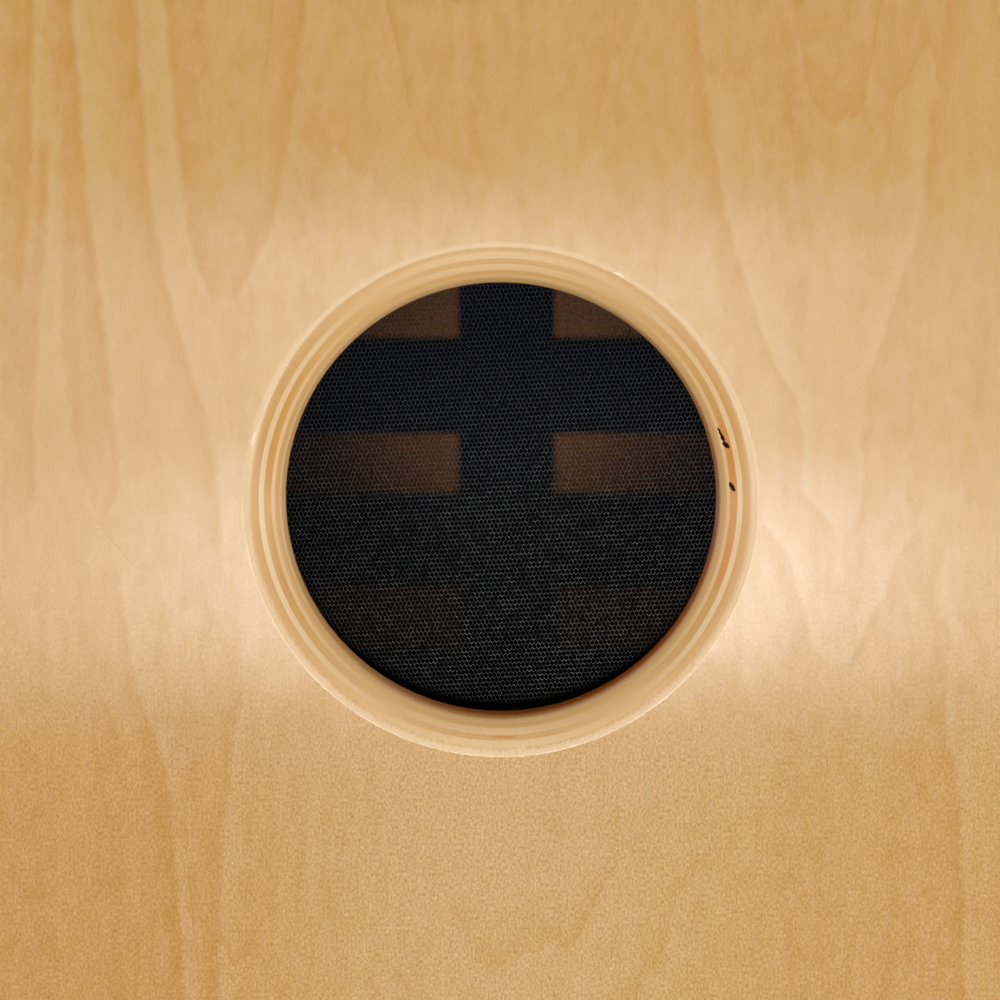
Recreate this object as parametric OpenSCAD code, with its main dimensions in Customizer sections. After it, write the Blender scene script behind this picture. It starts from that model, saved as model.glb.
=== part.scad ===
// Cajon: a plywood box drum with a round sound hole in its rear panel.
// The rear faces -Y, the playing face +Y, and left is -X. Sizes are in millimetres.
// The origin is on the floor, under the middle of the box.

/* [Box] */
// Width of the box, left to right
body_w = 300; // [270:1:330]
// Depth of the box, rear face to playing face
body_d = 300; // [270:1:330]
// Height of the box without its feet
body_h = 470; // [430:1:510]
// Thickness of the plywood of the box
panel_t = 12; // [10:0.5:15]
// Thickness of the playing face
front_t = 4; // [3.5:0.5:6]
// How far the top and bottom panels sit in the side panels
rabbet_depth = 6; // [3:0.5:8]
// Rounding of the outer edges of the box
edge_r = 6; // [2:0.5:8]
// Rounding of the rim of the playing face
front_edge_r = 2; // [0.5:0.5:3]
// Room for glue at the ends of the top and bottom panels
glue_gap = 0.1; // [0.05:0.05:0.3]

/* [Sound hole] */
// Diameter of the hole where it is narrowest
hole_d = 120; // [95:1:135]
// From the top of the box down to the middle of the hole
hole_drop = 190; // [160:1:230]
// Radius of the rounded edge of the hole
hole_round_r = 11; // [5:0.5:12]
// Straight wall that is left behind the rounded edge
hole_lip = 1; // [0.5:0.5:3]

/* [Screen] */
// Thickness of the net
screen_t = 0.8; // [0.5:0.1:1.5]
// Distance between the gaps in a row of the net
gap_pitch = 5.8; // [5.4:0.1:7]
// Distance between the rows of gaps
row_pitch = 6.3; // [5.8:0.1:7.5]
// Width of the strands between the gaps
strand_w = 1.1; // [0.6:0.1:1.6]
// How far the clamping ring stands back from the hole
ring_setback = 5; // [3:0.5:9]
// Width of the clamping ring
ring_w = 20; // [16:0.5:26]
// Thickness of the clamping ring
ring_t = 5; // [4:0.5:8]
// How far the net's edge lies inside the ring's outer edge
screen_inset = 4; // [2:0.5:5]

/* [Frame] */
// Side of the square battens behind the playing face
batten_w = 20; // [18:0.5:26]
// Leg of the three-sided strips in the rear corners
strip_leg = 18; // [12:0.5:24]

/* [Dampers] */
// Width of the felt strips on the playing face
damper_w = 37; // [25:1:45]
// Thickness of the felt strips
damper_t = 3; // [2:0.5:5]
// Distance between the rows of felt
damper_pitch = 63.5; // [56:0.5:72]
// From the ceiling of the box down to the middle row
damper_drop = 220; // [212:1:235]
// Bare wood between the ends of the felt and the battens
damper_margin = 8; // [3:1:15]

/* [Snares] */
// Wires in each snare
wire_count = 9; // [6:1:10]
// Diameter of a wire's coils
wire_d = 1.6; // [1.2:0.1:2]
// Distance between the wires
wire_pitch = 6; // [4:0.5:7]
// Length of a wire below its clamp
wire_len = 85; // [75:1:95]
// How deep a wire sits in its clamp
wire_seat = 7; // [4:0.5:8]
// Gap between the wire tips and the playing face
wire_gap = 0.2; // [0.1:0.1:0.5]
// From the middle of the box to the middle of a snare
snare_offset = 65; // [60:1:70]
// From the ceiling of the box down to the lower edge of the clamps
snare_drop = 36; // [34:1:42]
// Lean of the snares towards the playing face, in degrees
snare_tilt = 15; // [12:1:18]
// Thickness of the wooden snare bar
bar_t = 20; // [14:1:24]
// Height of the snare bar
bar_h = 28; // [24:1:30]
// How far the snare bar reaches below the clamps
bar_below = 6; // [3:0.5:10]
// Thickness of the clamps
clamp_t = 4; // [3:0.5:5]
// Height of the clamps
clamp_h = 10; // [9:0.5:12]
// Clamp past the outer wires, at each end
clamp_end = 10; // [9:0.5:14]

/* [Feet] */
// Diameter of a foot where it meets the box
foot_d = 38; // [32:1:46]
// Diameter of a foot on the floor
foot_floor_d = 33; // [30:1:38]
// Height of a foot
foot_h = 10; // [9:0.5:16]
// Rounding of a foot's lower rim
foot_round_r = 1.5; // [0.5:0.5:2.5]
// From the sides of the box to the middle of a foot
foot_inset = 32; // [26:1:45]
// Diameter of the recess for the washer and screw head
recess_d = 16; // [15:0.5:18]
// Rubber between the recess and the box
foot_web = 4; // [3:0.5:5]
// Diameter of the washer
washer_d = 14.5; // [12:0.5:14.5]
// Thickness of the washer
washer_t = 1.5; // [1:0.25:2]

/* [Screws] */
// Diameter of the screws in the playing face
front_screw_d = 3.5; // [3:0.1:4]
// Length of the screws in the playing face
front_screw_len = 20; // [14:0.5:21]
// Diameter of their countersunk heads
front_head_d = 7.5; // [6.5:0.1:8.5]
// Height of their countersunk heads
front_head_h = 2.4; // [1.8:0.1:3]
// Screws along the top and along the bottom of the playing face
front_screws_across = 5; // [3:1:7]
// Screws along each side, corners included
front_screws_up = 6; // [4:1:9]
// Screws in the clamping ring
ring_screw_count = 6; // [4:1:10]
// Diameter of the small screws inside the box
small_screw_d = 3; // [2.5:0.1:3.5]
// How far the small screws reach into the wood
small_screw_bite = 7; // [5:0.5:8]
// Diameter of their round heads
small_head_d = 6.5; // [5.5:0.1:7]
// Height of their round heads
small_head_h = 2.2; // [1.6:0.1:3]
// Diameter of the screws in the feet
foot_screw_d = 4.5; // [3.5:0.1:5]
// How far they reach into the bottom panel
foot_screw_bite = 8; // [6:0.5:8]
// Diameter of their round heads
foot_head_d = 9; // [7.5:0.1:10]
// Height of their round heads
foot_head_h = 2.6; // [2:0.1:3]
// Play of a screw in a hole that it passes through
screw_play = 0.3; // [0.1:0.1:0.5]
// Hole left below the tip of a screw
tip_room = 0.5; // [0.2:0.1:1]

/* [Hidden] */
$fn = 96;

birch = [0.87, 0.72, 0.53];
pine = [0.82, 0.65, 0.42];
net_black = [0.10, 0.10, 0.11];
felt_black = [0.06, 0.06, 0.07];
steel = [0.75, 0.76, 0.78];
rubber = [0.13, 0.13, 0.13];

// Overreach of a cut past the face that it opens
cut = 1;

// The box: its faces, and the room inside it
box_top = foot_h + body_h;
rear_y = -body_d / 2;
front_y = body_d / 2;
room_rear = rear_y + panel_t;
room_front = front_y - front_t;
room_depth = room_front - room_rear;
room_x = body_w / 2 - panel_t;
room_floor = foot_h + panel_t;
room_ceiling = box_top - panel_t;
room_h = room_ceiling - room_floor;

// The sound hole and the net behind it
hole_up = box_top - hole_drop;
hole_round = min(hole_round_r, panel_t - hole_lip);
ring_in_d = hole_d + 2 * ring_setback;
ring_out_d = ring_in_d + 2 * ring_w;
ring_y = room_rear + screen_t;
screen_d = ring_out_d - 2 * screen_inset;
ring_screw_r = ring_in_d / 2 + ring_w / 2;
gap_scale = 1 - strand_w / gap_pitch;
gap_rows = ceil(hole_d / row_pitch / 2);
gap_columns = ceil(hole_d / gap_pitch / 2);

// The frame behind the playing face
batten_rear = room_front - batten_w;
batten_x = room_x - batten_w;
front_screw_x = room_x - batten_w / 2;
front_screw_low = room_floor + batten_w / 2;
front_screw_high = room_ceiling - batten_w / 2;

// The felt strips
damper_up = room_ceiling - damper_drop;
damper_reach = batten_x - damper_margin;
damper_low = room_floor + batten_w + damper_margin;
damper_high = room_ceiling - batten_w - damper_margin;

// The snares
wire_r = wire_d / 2;
wire_tip = wire_len * sin(snare_tilt) + wire_r * cos(snare_tilt);
snare_y = room_front - wire_gap - wire_tip;
snare_up = room_ceiling - snare_drop;
wire_span = (wire_count - 1) * wire_pitch;
clamp_w = wire_span + 2 * clamp_end;
clamp_screw_x = wire_span / 2 + clamp_end / 2;

// The feet
recess_top = foot_h - foot_web;
foot_x = body_w / 2 - foot_inset;
foot_y = body_d / 2 - foot_inset;

// Places of the screws in the playing face, as [x, z]
front_screw_places = [
    for (i = [0 : front_screws_across - 1], z = [front_screw_low, front_screw_high])
        [front_screw_x * (2 * i / (front_screws_across - 1) - 1), z],
    for (i = [1 : front_screws_up - 2], side = [-1, 1])
        [side * front_screw_x,
         front_screw_low + (front_screw_high - front_screw_low) * i / (front_screws_up - 1)]
];

// Places of the screws in the clamping ring, as [x, z]
ring_screw_places = [
    for (i = [0 : ring_screw_count - 1])
        let (turn = 360 * (i + 0.5) / ring_screw_count)
            [ring_screw_r * cos(turn), hole_up + ring_screw_r * sin(turn)]
];

// Places of the feet, as [x, y]
foot_places = [for (side = [-1, 1], face = [-1, 1]) [side * foot_x, face * foot_y]];

// Corners of one gap of the net: a hexagon that stands on a point
gap_corners = [
    for (i = [0 : 5])
        let (half = gap_pitch / 2, side = row_pitch / 3, tall = row_pitch * 2 / 3)
            gap_scale * [[half, side], [0, tall], [-half, side], [-half, -side], [0, -tall],
                         [half, -side]][i]
];

// Middles of the gaps that lie whole inside the hole
gap_places = [
    for (row = [-gap_rows : gap_rows], column = [-gap_columns : gap_columns])
        let (x = (column + (row % 2 == 0 ? 0 : 0.5)) * gap_pitch, z = row * row_pitch)
            if (norm([x, z]) + row_pitch * 2 / 3 < hole_d / 2) [x, z]
];

// Stands an outline drawn in x and z up at y, with its thickness towards the playing face
module standing(y, t) {
    translate([0, y + t, 0]) rotate([90, 0, 0]) linear_extrude(height = t) children();
}

// What rounding takes off a corner, in the quarter given by the signs
module corner_waste(sign_x, sign_y, r) {
    difference() {
        translate([sign_x > 0 ? 0 : -r - cut, sign_y > 0 ? 0 : -r - cut]) square(r + cut);
        circle(r);
    }
}

// Outline of the box seen from behind, in x and z
module box_outline() {
    difference() {
        translate([-body_w / 2, foot_h]) square([body_w, body_h]);
        for (side = [-1, 1]) {
            translate([side * (body_w / 2 - edge_r), foot_h + edge_r]) corner_waste(side, -1, edge_r);
            translate([side * (body_w / 2 - edge_r), box_top - edge_r]) corner_waste(side, 1, edge_r);
        }
    }
}

// Section of a panel whose two outer corners, at y = 0, are rounded
module rim_section(w, t, r) {
    difference() {
        translate([-w / 2, 0]) square([w, t]);
        for (side = [-1, 1]) translate([side * (w / 2 - r), r]) corner_waste(side, -1, r);
    }
}

// A panel as large as the box, with its outer face at y = 0 and its rim rounded all round
module face_panel(t, rim_r) {
    intersection() {
        standing(0, t) box_outline();
        translate([0, 0, foot_h]) linear_extrude(height = body_h) rim_section(body_w, t, rim_r);
        translate([body_w / 2, 0, foot_h + body_h / 2]) rotate([0, -90, 0])
            linear_extrude(height = body_w) rim_section(body_h, t, rim_r);
    }
}

// What the sound hole takes out of a panel whose outer face is at y = 0
module hole_cut() {
    r = hole_d / 2;
    translate([0, 0, hole_up]) rotate([-90, 0, 0]) {
        translate([0, 0, -cut]) cylinder(h = panel_t + 2 * cut, r = r);
        rotate_extrude() difference() {
            translate([r - cut, -cut]) square([hole_round + cut, hole_round + cut]);
            translate([r + hole_round, hole_round]) circle(hole_round);
        }
    }
}

// The shank of a screw along +z from z = 0, with a pointed tip
module shank(d, length) {
    cylinder(h = length - d, d = d);
    translate([0, 0, length - d]) cylinder(h = d, d1 = d, d2 = 0);
}

// The cross in a screw's head, cut down from the face at z = 0
module cross_recess(head_d, depth) {
    for (turn = [0, 90]) rotate([0, 0, turn])
        translate([-head_d * 0.28, -head_d * 0.06, -cut]) cube([head_d * 0.56, head_d * 0.12, depth + cut]);
}

// A screw with a flush head: its face is at z = 0 and it points along +z
module flush_screw(d, head_d, head_h, length) {
    difference() {
        union() {
            cylinder(h = head_h, d1 = head_d, d2 = d);
            translate([0, 0, head_h]) shank(d, length - head_h);
        }
        cross_recess(head_d, head_h * 0.6);
    }
}

// A screw with a raised head, which seats at z = 0: it points along +z
module round_screw(d, head_d, head_h, length) {
    difference() {
        union() {
            translate([0, 0, -head_h]) cylinder(h = head_h, d1 = head_d * 0.8, d2 = head_d);
            shank(d, length);
        }
        translate([0, 0, -head_h]) cross_recess(head_d, head_h * 0.6);
    }
}

// Rear panel with the rounded sound hole, drilled from inside for the clamping ring
module back_panel() {
    color(birch) difference() {
        translate([0, rear_y, 0]) difference() {
            face_panel(panel_t, edge_r);
            hole_cut();
        }
        for (place = ring_screw_places) translate([place.x, room_rear + cut, place.y]) rotate([90, 0, 0])
            cylinder(h = small_screw_bite + tip_room + cut, d = small_screw_d);
    }
}

// Playing face: thin plywood, countersunk for its screws
module front_plate() {
    color(birch) difference() {
        translate([0, front_y, 0]) mirror([0, 1, 0]) face_panel(front_t, front_edge_r);
        for (place = front_screw_places) translate([place.x, front_y, place.y]) rotate([90, 0, 0]) {
            cylinder(h = front_head_h, d1 = front_head_d, d2 = front_screw_d);
            translate([0, 0, -cut]) cylinder(h = front_t + 2 * cut, d = front_screw_d);
        }
    }
}

// Side panel, rabbeted at both ends for the top and bottom panels
module side_panel(side) {
    color(birch) standing(room_rear, room_depth) difference() {
        intersection() {
            box_outline();
            translate([side > 0 ? room_x : -body_w / 2, foot_h]) square([panel_t, body_h]);
        }
        for (z = [foot_h - cut, room_ceiling])
            translate([side > 0 ? room_x - cut : -room_x - rabbet_depth, z])
                square([rabbet_depth + cut, panel_t + cut]);
    }
}

// Top or bottom panel, let into the sides, with its lower face at z
module end_panel(z) {
    half = room_x + rabbet_depth - glue_gap;
    standing(room_rear, room_depth) intersection() {
        box_outline();
        translate([-half, z]) square([2 * half, panel_t]);
    }
}

// The seat
module top_panel() {
    color(birch) end_panel(room_ceiling);
}

// Bottom panel, drilled from below for the feet
module bottom_panel() {
    color(birch) difference() {
        end_panel(foot_h);
        for (place = foot_places) translate([place.x, place.y, foot_h - cut])
            cylinder(h = foot_screw_bite + tip_room + cut, d = foot_screw_d);
    }
}

// What the screws of the playing face take out of the battens
module front_pilot_holes() {
    for (place = front_screw_places) translate([place.x, room_front + cut, place.y]) rotate([90, 0, 0])
        cylinder(h = front_screw_len - front_t + tip_room + cut, d = front_screw_d);
}

// Upright batten in a front corner, over the whole height of the room
module front_batten_upright(side) {
    color(pine) difference() {
        translate([side > 0 ? batten_x : -room_x, batten_rear, room_floor]) cube([batten_w, batten_w, room_h]);
        front_pilot_holes();
    }
}

// Level batten between the upright ones, with its lower face at z
module front_batten_level(z) {
    color(pine) difference() {
        translate([-batten_x, batten_rear, z]) cube([2 * batten_x, batten_w, batten_w]);
        front_pilot_holes();
    }
}

// Three-sided strip in a rear corner beside a side panel
module glue_strip_upright(side) {
    color(pine) translate([side * room_x, room_rear, room_floor]) linear_extrude(height = room_h)
        polygon([[0, 0], [-side * strip_leg, 0], [0, strip_leg]]);
}

// Three-sided strip in a rear corner against the level panel at z; up is the way to the room
module glue_strip_level(z, up) {
    reach = room_x - strip_leg;
    color(pine) translate([-reach, room_rear, z]) rotate([90, 0, 90]) linear_extrude(height = 2 * reach)
        polygon([[0, 0], [strip_leg, 0], [0, up * strip_leg]]);
}

// Net behind the sound hole, with a plain rim where the ring clamps it
module screen() {
    color(net_black) standing(room_rear, screen_t) difference() {
        translate([0, hole_up]) circle(d = screen_d);
        translate([0, hole_up]) for (place = gap_places) translate(place) polygon(gap_corners);
        for (place = ring_screw_places) translate(place) circle(d = small_screw_d + screw_play);
    }
}

// Ring that clamps the net to the rear panel
module screen_ring() {
    color(birch) standing(ring_y, ring_t) difference() {
        translate([0, hole_up]) circle(d = ring_out_d);
        translate([0, hole_up]) circle(d = ring_in_d);
        for (place = ring_screw_places) translate(place) circle(d = small_screw_d + screw_play);
    }
}

module screen_ring_screws() {
    color(steel) for (place = ring_screw_places)
        translate([place.x, ring_y + ring_t, place.y]) rotate([90, 0, 0])
            round_screw(small_screw_d, small_head_d, small_head_h, ring_t + screen_t + small_screw_bite);
}

module front_screws() {
    color(steel) for (place = front_screw_places) translate([place.x, front_y, place.y]) rotate([90, 0, 0])
        flush_screw(front_screw_d, front_head_d, front_head_h, front_screw_len);
}

// Upright felt strip in the middle of the playing face's inner side
module damper_upright() {
    color(felt_black) translate([-damper_w / 2, room_front - damper_t, damper_low])
        cube([damper_w, damper_t, damper_high - damper_low]);
}

// One half of a row of felt, butted against the upright strip
module damper_row(side, row) {
    length = damper_reach - damper_w / 2;
    color(felt_black) translate([side > 0 ? damper_w / 2 : -damper_reach, room_front - damper_t,
                                 damper_up + row * damper_pitch - damper_w / 2])
        cube([length, damper_t, damper_w]);
}

// Places what is drawn in a snare's own frame: wires run down -z from their clamp at z = 0
module snare_frame() {
    translate([0, snare_y, snare_up]) rotate([snare_tilt, 0, 0]) children();
}

// What the clamps' screws take out, in the snares' frame
module clamp_screw_holes(y, depth, d) {
    for (side = [-1, 1], end = [-1, 1])
        translate([side * snare_offset + end * clamp_screw_x, y, clamp_h / 2]) rotate([90, 0, 0])
            cylinder(h = depth, d = d);
}

// Wooden bar from side to side, leaning towards the playing face
module snare_bar() {
    color(pine) snare_frame() difference() {
        translate([-room_x, -clamp_t / 2 - bar_t, -bar_below]) cube([2 * room_x, bar_t, bar_h]);
        clamp_screw_holes(-clamp_t / 2 + cut, small_screw_bite + tip_room + cut, small_screw_d);
    }
}

// Metal strip on the bar that holds the wires of one snare
module snare_clamp(side) {
    color(steel) snare_frame() difference() {
        translate([side * snare_offset - clamp_w / 2, -clamp_t / 2, 0]) cube([clamp_w, clamp_t, clamp_h]);
        for (i = [0 : wire_count - 1])
            translate([side * snare_offset + i * wire_pitch - wire_span / 2, 0, -cut])
                cylinder(h = wire_seat + cut, d = wire_d);
        clamp_screw_holes(clamp_t / 2 + cut, clamp_t + 2 * cut, small_screw_d + screw_play);
    }
}

module snare_wires(side) {
    color(steel) snare_frame() for (i = [0 : wire_count - 1])
        translate([side * snare_offset + i * wire_pitch - wire_span / 2, 0, -wire_len])
            cylinder(h = wire_len + wire_seat, d = wire_d);
}

module snare_clamp_screws() {
    color(steel) snare_frame() for (side = [-1, 1], end = [-1, 1])
        translate([side * snare_offset + end * clamp_screw_x, clamp_t / 2, clamp_h / 2]) rotate([90, 0, 0])
            round_screw(small_screw_d, small_head_d, small_head_h, clamp_t + small_screw_bite);
}

// Tapered rubber foot with a recess for its washer and screw
module foot(side, face) {
    rim_r = foot_floor_d / 2;
    color(rubber) translate([side * foot_x, face * foot_y, 0]) difference() {
        cylinder(h = foot_h, d1 = foot_floor_d, d2 = foot_d);
        rotate_extrude() translate([rim_r - foot_round_r, foot_round_r]) corner_waste(1, -1, foot_round_r);
        translate([0, 0, -cut]) cylinder(h = recess_top + cut, d = recess_d);
        cylinder(h = foot_h + cut, d = foot_screw_d + screw_play);
    }
}

module foot_washers() {
    color(steel) for (place = foot_places) translate([place.x, place.y, recess_top - washer_t])
        linear_extrude(height = washer_t) difference() {
            circle(d = washer_d);
            circle(d = foot_screw_d + screw_play);
        }
}

module foot_screws() {
    color(steel) for (place = foot_places) translate([place.x, place.y, recess_top - washer_t])
        round_screw(foot_screw_d, foot_head_d, foot_head_h, washer_t + foot_web + foot_screw_bite);
}

back_panel();
front_plate();
side_panel(-1);  // left_side
side_panel(1);  // right_side
top_panel();
bottom_panel();
front_batten_upright(-1);  // front_batten_left
front_batten_upright(1);  // front_batten_right
front_batten_level(room_ceiling - batten_w);  // front_batten_top
front_batten_level(room_floor);  // front_batten_bottom
glue_strip_upright(-1);  // glue_strip_left
glue_strip_upright(1);  // glue_strip_right
glue_strip_level(room_ceiling, -1);  // glue_strip_top
glue_strip_level(room_floor, 1);  // glue_strip_bottom
screen();
screen_ring();
screen_ring_screws();
front_screws();
damper_upright();
damper_row(-1, -1);  // damper_low_left
damper_row(1, -1);  // damper_low_right
damper_row(-1, 0);  // damper_middle_left
damper_row(1, 0);  // damper_middle_right
damper_row(-1, 1);  // damper_high_left
damper_row(1, 1);  // damper_high_right
snare_bar();
snare_clamp(-1);  // snare_clamp_left
snare_clamp(1);  // snare_clamp_right
snare_wires(-1);  // snare_wires_left
snare_wires(1);  // snare_wires_right
snare_clamp_screws();
foot(-1, 1);  // foot_front_left
foot(1, 1);  // foot_front_right
foot(-1, -1);  // foot_rear_left
foot(1, -1);  // foot_rear_right
foot_washers();
foot_screws();
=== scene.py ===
"""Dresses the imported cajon: lacquered birch plywood with a bull-nosed sound hole, a black hexagon net
behind it, felt dampers, snares, screws and rubber feet. Lengths are in metres unless a name says mm."""

import math

import bmesh
import bpy
from mathutils import Matrix, Vector, noise


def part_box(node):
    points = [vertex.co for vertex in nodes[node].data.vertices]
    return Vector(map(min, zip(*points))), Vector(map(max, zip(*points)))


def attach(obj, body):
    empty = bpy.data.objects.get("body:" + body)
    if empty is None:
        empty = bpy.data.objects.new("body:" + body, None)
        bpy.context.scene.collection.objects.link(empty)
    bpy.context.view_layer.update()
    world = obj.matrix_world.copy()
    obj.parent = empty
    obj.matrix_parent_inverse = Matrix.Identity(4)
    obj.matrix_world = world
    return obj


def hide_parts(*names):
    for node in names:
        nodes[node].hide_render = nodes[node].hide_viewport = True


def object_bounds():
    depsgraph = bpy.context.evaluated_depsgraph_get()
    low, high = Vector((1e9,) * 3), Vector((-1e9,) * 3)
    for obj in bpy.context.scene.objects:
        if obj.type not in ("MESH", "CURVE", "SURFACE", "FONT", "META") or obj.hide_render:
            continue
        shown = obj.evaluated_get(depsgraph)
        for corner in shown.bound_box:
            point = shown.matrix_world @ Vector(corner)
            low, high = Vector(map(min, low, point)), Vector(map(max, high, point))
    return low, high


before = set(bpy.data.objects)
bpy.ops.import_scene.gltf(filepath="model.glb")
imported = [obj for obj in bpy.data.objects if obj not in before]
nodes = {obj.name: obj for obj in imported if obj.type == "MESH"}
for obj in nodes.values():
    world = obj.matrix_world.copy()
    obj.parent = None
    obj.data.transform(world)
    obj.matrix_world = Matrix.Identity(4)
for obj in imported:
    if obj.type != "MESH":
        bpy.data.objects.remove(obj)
cad_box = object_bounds()

MM = 0.001

# Places taken from the frame, and the sound hole with its rounded edge
rear_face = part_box("back_panel")[0].y
body_low, body_high = cad_box
plate_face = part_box("front_plate")[1].y
hole_centre = Vector((0.0, rear_face, 0.290))
hole_round = 11 * MM
mouth_radius = 71 * MM
felt_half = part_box("damper_upright")[1].x
felt_ends = [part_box(name) for name in ("damper_low_left", "damper_high_left")]
felt_rows = [(low.z + high.z) / 2 for low, high in felt_ends]
felt_gap = (felt_rows[1] - felt_rows[0]) / 2

# View of the photograph: near the sound hole, a little from above
camera_reach = 0.600
camera_azimuth = math.radians(0.5)
camera_elevation = math.radians(5.0)
frame_width = 0.2735
aim_shift = Vector((-0.1 * MM, 0.0, 0.6 * MM))

# Plies of the two sheets from the outer face, in mm; every other one has its grain along the sheet
thick_plies_mm = [0.10, 0.92, 0.80, 1.46, 1.07, 1.59, 1.34, 1.50, 1.20, 1.00, 0.52, 0.40, 0.10]
thin_plies_mm = [0.60, 0.75, 1.30, 0.75, 0.60]
glue_line_mm = 0.05

# Growth lines of the outer veneer: height of one line at places across the sheet, in mm
growth_line_mm = [
    (-150, 20), (-126, 105), (-107, -20), (-91, 95), (-75, 0), (-45, 120), (0, 50),
    (40, 110), (61, 130), (90, 25), (116, 100), (132, 5), (150, 60),
]
growth_line_gap_mm = 52

# Growth lines drawn in the rear veneer: strength, side of the soft edge, then (height, place across) in mm
rear_lines_mm = [
    (0.8, -1, [
        (276.3, 93.4), (282.9, 90.7), (289.2, 86.1), (295.5, 81.7), (307.1, 82), (317.5, 80.9),
        (323.5, 76.5), (334.5, 71.8), (344.1, 68.3), (355.1, 64.2), (367.7, 60.9), (392.2, 56.2),
        (427.9, 51.9), (480, 46.9),
    ]),
    (0.8, 1, [
        (276.3, 93.7), (283.7, 96.2), (290.1, 98.6), (297.5, 99.7), (307.1, 99.2), (318.1, 99.7),
        (334.5, 103.8), (345.5, 107.4), (366.1, 113.4), (392.2, 116.4), (427.9, 120.2), (480, 125.7),
    ]),
    (0.8, -1, [
        (242.8, 94.3), (245.3, 90.2), (249.4, 86.9), (256.3, 84.1), (263.2, 82), (271.4, 80),
        (278.2, 76.5), (285.1, 71.6), (290.6, 65.5),
    ]),
    (0.9, 1, [
        (242.8, 94.3), (247.8, 97.5), (253, 99.7), (259, 102.5), (263.7, 105.2), (270, 107.1),
        (276.3, 109.8), (280.7, 112.6), (283.5, 116.1), (284.8, 118.9),
    ]),
    (0.9, -1, [
        (10.1, 133.9), (71, 132.5), (153.4, 129), (194.5, 127.4), (217.9, 124.9), (224.7, 123),
        (235.7, 122.4), (245.3, 122.2), (252.2, 123.2), (257.7, 121.6), (263.2, 119.7), (270, 120),
        (278.2, 121.1), (284.8, 118.9),
    ]),
    (1, -1, [
        (342.8, -131.4), (351, -130), (359.2, -129.2), (367.7, -127.8), (392.2, -126.7), (427.9, -125.9),
        (480, -124.8),
    ]),
    (1, -1, [
        (287.9, -127.6), (304.3, -128.1), (318.1, -127.6), (329, -126.7), (340, -125.9), (348.2, -125.1),
        (355.9, -124.3), (367.7, -123.2), (392.2, -122.1),
    ]),
    (0.8, 1, [
        (284, -109.5), (290.6, -111.7), (297.5, -113.6), (304.3, -115.5), (312.6, -117.2), (323.5, -118.3),
        (337.3, -118.8), (367.7, -118.3), (400.4, -117.7),
    ]),
    (1, -1, [
        (283.5, -109.2), (287.3, -107.3), (293.3, -105.4), (301.6, -104.9), (312.6, -105.7),
        (323.5, -106.8), (334.5, -107.6), (345.5, -109), (356.5, -110.3), (367.7, -111.7), (392.2, -113.3),
        (427.9, -115.5), (480, -117.7),
    ]),
    (0.9, -1, [
        (10.1, -86.3), (84.7, -87.1), (153.4, -89), (194.5, -90.9), (220.1, -94.2), (231.6, -98.6),
        (238.4, -100.7), (246.7, -102.1), (254.9, -103.2), (263.2, -104.3), (270, -105.9), (277.4, -108.4),
    ]),
    (0.9, -1, [
        (274.1, -76.7), (290.6, -77.5), (298.8, -78.3), (307.1, -79.7), (320.8, -83), (335.9, -87.6),
        (351, -91.2), (359.2, -92.5), (367.7, -94.5), (392.2, -96.4), (427.9, -98.6), (480, -101.8),
    ]),
    (0.8, 1, [
        (343.9, -74.5), (346.6, -78.3), (351, -80.8), (359.2, -83), (367.7, -84.9), (392.2, -87.3),
        (427.9, -89.8), (480, -93.1),
    ]),
    (0.8, -1, [
        (343.9, -74.5), (346.9, -71.2), (351.8, -68.5), (359.2, -65.2), (367.7, -61.4), (392.2, -57),
        (427.9, -52.1), (480, -46.6),
    ]),
    (0.8, -1, [
        (10.1, -80.8), (139.6, -79.4), (186.3, -77.8), (213.7, -75.3), (223.3, -73.9), (231.6, -73.1),
        (238.4, -70.9), (245.3, -71.8), (252.2, -72), (259, -71.8),
    ]),
]

# Core voids in the sound hole's rounded edge, painted dark as the shade inside them: middle, lean from
# upright and half sizes, in mm
voids_mm = [
    ((60.50, -147.5, 309.10), 0.50, (0.36, 4.0, 1.90)),
    ((61.15, -147.5, 307.50), 0.50, (0.50, 4.0, 1.05)),
    ((62.00, -147.5, 305.80), 0.80, (0.70, 4.0, 1.25)),
    ((63.80, -147.5, 294.30), 0.55, (0.60, 4.0, 1.60)),
]
void_rag = 0.5 * MM
void_rag_scale = 1100.0

# Resin in the same edge, a streak low down and a ply on the right: share, middle and half sizes, in mm
resins_mm = [
    (0.7, (0.9, -148.6, 224.6), (3.2, 3.0, 0.36)),
    (0.8, (64.0, -147.48, 287.0), (7.0, 0.78, 38.0)),
]

# Crease in the rear veneer: height at places across the sheet, in mm
crease_mm = [
    (-112.4, 284.3), (-110.1, 283.7), (-108.7, 281.8), (-106.8, 279.3),
    (-104.6, 276.6), (-102.4, 273.8), (-100.2, 271.9), (-98.3, 270.8),
]

# Knitted net: cell pitch along and across its rows, upright side of a cell, and the strand between cells
net_pitch = 1.166 * MM
net_row_pitch = 1.275 * MM
net_link = 0.70 * MM
net_strand = 0.185 * MM
net_strand_rise = 0.045 * MM
net_uneven_mm = 0.035
net_seed = 1
net_turn = math.radians(3.3)
net_margin = 0.2 * MM
# Middle of a painted shadow ring at the net's rim, a little above the sound hole's axis
net_shadow_middle = Vector((0, -0.138, hole_centre.z + 5 * MM))

# Felt strips: rounding of their edges and unevenness of their face; and one turn of a snare coil
felt_round = 0.4 * MM
felt_uneven = 0.5 * MM
wire_turn = 0.7 * MM

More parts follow.
